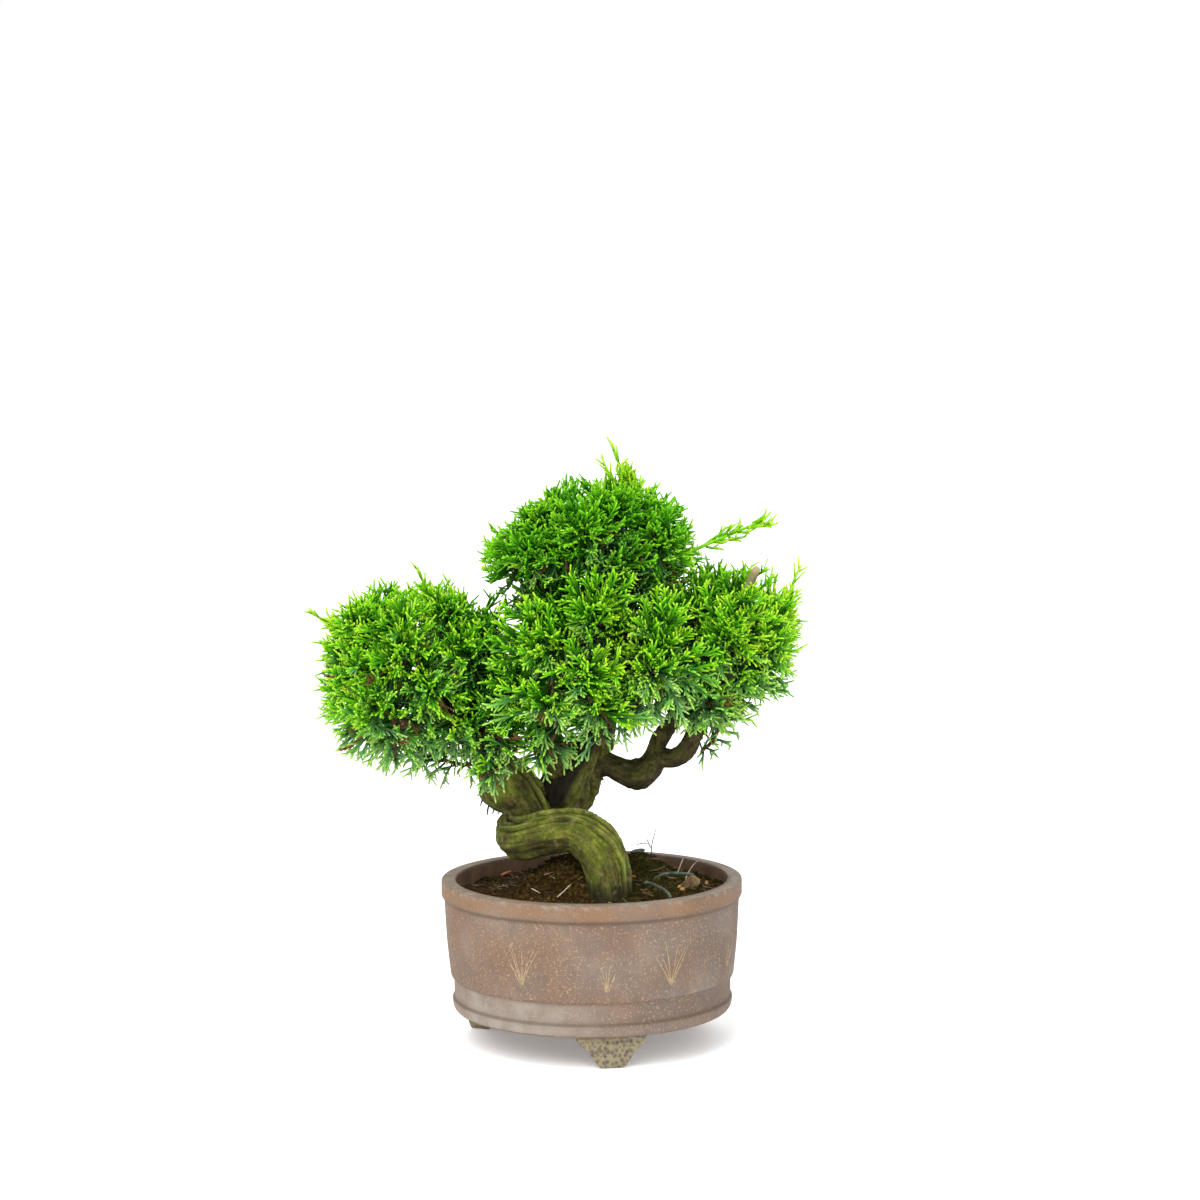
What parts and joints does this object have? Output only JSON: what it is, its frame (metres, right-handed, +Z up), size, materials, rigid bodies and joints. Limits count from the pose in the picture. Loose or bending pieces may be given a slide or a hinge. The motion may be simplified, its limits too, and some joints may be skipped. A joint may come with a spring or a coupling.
{
  "type": "chinese juniper bonsai",
  "caption": "Small juniper tree with a low folded trunk and dense pads of cord-like scale-leaf shoots, standing in mossy soil in a round unglazed pot on three feet.",
  "frame": {"origin": "middle of the base of the whole object's box, at the level of the three feet's undersides", "axes": "+Z up, +X to the right of the front view, +Y away from the front view"},
  "size_m": [0.1998, 0.12, 0.236],
  "materials": {
    "pot_clay": "matte",
    "bark": "matte",
    "foliage": "satin",
    "soil": "matte",
    "grit": "matte",
    "screen_plastic": "matte",
    "clip_wire": "satin",
    "tie_wire": "matte"
  },
  "bodies": {
    "root": {"drain_screen": "screen_plastic", "drainage_grit": "grit", "pot": "pot_clay", "screen_clip": "clip_wire", "soil": "soil", "spray_01": "foliage", "spray_02": "foliage", "spray_03": "foliage", "spray_04": "foliage", "spray_05": "foliage", "spray_06": "foliage", "spray_07": "foliage", "spray_08": "foliage", "spray_09": "foliage", "spray_10": "foliage", "spray_11": "foliage", "spray_12": "foliage", "spray_13": "foliage", "spray_14": "foliage", "spray_15": "foliage", "spray_16": "foliage", "spray_17": "foliage", "spray_18": "foliage", "spray_19": "foliage", "spray_20": "foliage", "spray_21": "foliage", "spray_22": "foliage", "spray_23": "foliage", "spray_24": "foliage", "spray_25": "foliage", "spray_26": "foliage", "spray_27": "foliage", "spray_28": "foliage", "spray_29": "foliage", "spray_30": "foliage", "spray_31": "foliage", "spray_32": "foliage", "spray_33": "foliage", "spray_34": "foliage", "spray_35": "foliage", "spray_36": "foliage", "spray_37": "foliage", "spray_38": "foliage", "spray_39": "foliage", "spray_40": "foliage", "spray_41": "foliage", "spray_42": "foliage", "spray_43": "foliage", "spray_44": "foliage", "spray_45": "foliage", "spray_46": "foliage", "spray_47": "foliage", "sprig_1": "foliage", "sprig_2": "foliage", "sprig_3": "foliage", "sprig_4": "foliage", "sprig_5": "foliage", "tie_wire": "tie_wire", "trunk": "bark"}
  },
  "joints": []
}
